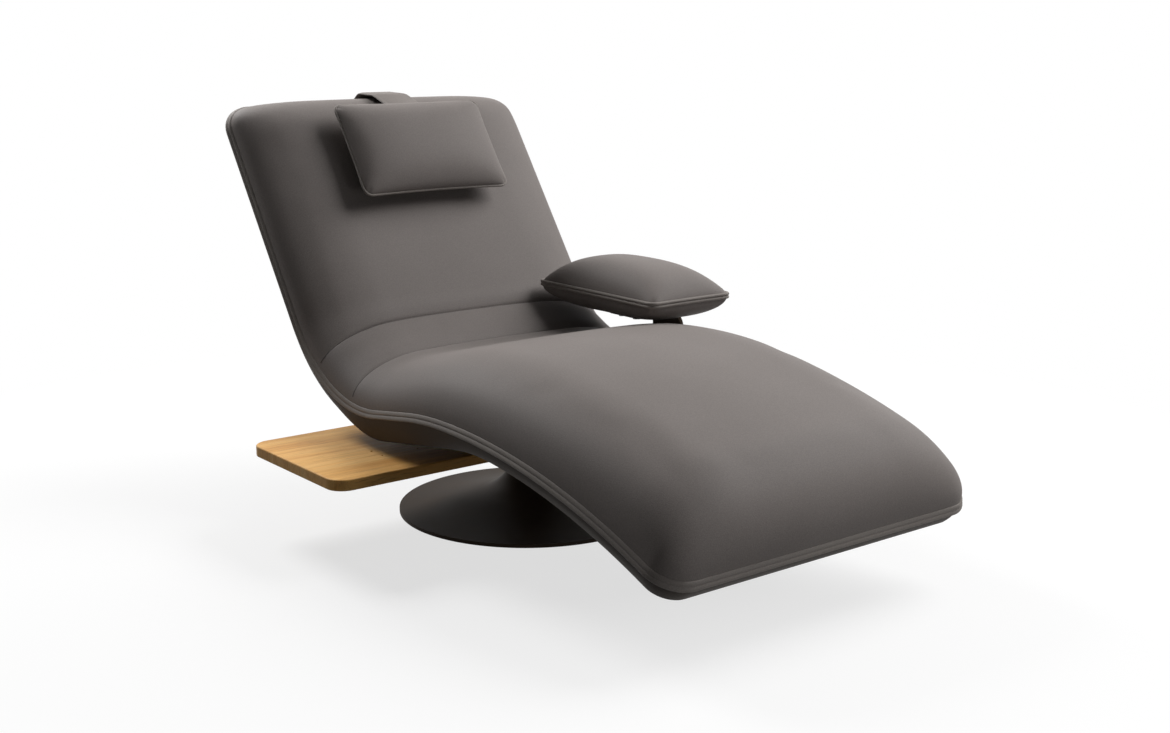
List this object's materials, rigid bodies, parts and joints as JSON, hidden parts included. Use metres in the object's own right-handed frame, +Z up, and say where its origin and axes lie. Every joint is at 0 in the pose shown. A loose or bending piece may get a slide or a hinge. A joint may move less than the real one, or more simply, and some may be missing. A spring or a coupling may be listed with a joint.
{
  "type": "swivel relaxation lounger",
  "caption": "Long S-shaped upholstered lounger that turns on a trumpet base, with a sliding neck pillow on a strap, an arm cushion and a swing-out oak tray.",
  "frame": {"origin": "on the floor, on the swivel axis", "axes": "+Z up, +Y towards the head, -Y towards the foot, +X to the sitter's left where the arm is"},
  "size_m": [1.0128, 1.6792, 0.9299],
  "materials": {
    "cushion": "fine-grained taupe leather cover over foam",
    "leather": "fine-grained taupe leather",
    "dark_metal": "satin dark bronze powder coat",
    "frame_steel": "black primed steel",
    "fastener": "zinc-plated steel",
    "bush": "acetal bearing plastic",
    "webbing": "woven elastic webbing",
    "board": "plywood under black lining cloth",
    "oak": "oiled oak",
    "floor_pad": "thin rubber floor disc"
  },
  "bodies": {
    "base": {"floor_pad": "floor_pad", "base_plate": "frame_steel", "trumpet_cover": "dark_metal", "column_tube": "dark_metal", "column_bolts": "fastener", "lower_bush": "bush", "upper_bush": "bush", "thrust_washer": "bush"},
    "seat": {"spindle": "dark_metal", "spindle_retainer": "frame_steel", "carrier_plate": "frame_steel", "carrier_bolts": "fastener", "front_beam": "frame_steel", "rear_beam": "frame_steel", "side_frame_left": "frame_steel", "side_frame_right": "frame_steel", "head_rail": "frame_steel", "lumbar_rail": "frame_steel", "knee_rail": "frame_steel", "foot_rail": "frame_steel", "back_webbing": "webbing", "seat_webbing": "webbing", "leg_webbing": "webbing", "seat_cushion": "cushion", "under_shell": "leather", "edge_welt": "leather", "arm_pad": "cushion", "arm_board": "board", "arm_bar": "dark_metal", "arm_pad_bolts": "fastener", "arm_base_bolts": "fastener"},
    "tray": {"tray_board": "oak", "tray_arm": "dark_metal", "tray_bush": "bush", "tray_screws": "fastener"},
    "pillow": {"neck_pillow": "cushion", "strap_front": "leather"},
    "counterweight": {"counterweight": "leather", "strap_rear": "leather"}
  },
  "joints": [
    {"name": "seat_swivel", "type": "hinge", "parent": "base", "child": "seat", "pos_m": [0, 0, 0.15], "axis": [0, 0, 1], "continuous": true},
    {"name": "tray_swing", "type": "hinge", "parent": "seat", "child": "tray", "pos_m": [0, 0, 0.177], "axis": [0, 0, 1], "continuous": true},
    {"name": "pillow_slide", "type": "slide", "parent": "seat", "child": "pillow", "axis": [0, 0.5736, 0.8192], "range_m": [-0.12, 0.04], "deforming": ["strap_front"]},
    {"name": "counterweight_slide", "type": "slide", "parent": "seat", "child": "counterweight", "axis": [0, 0.5736, 0.8192], "range_m": [-0.04, 0.12], "deforming": ["strap_rear"]}
  ],
  "couplings": [
    {"joint": "counterweight_slide", "follows": "pillow_slide", "ratio": -1}
  ]
}
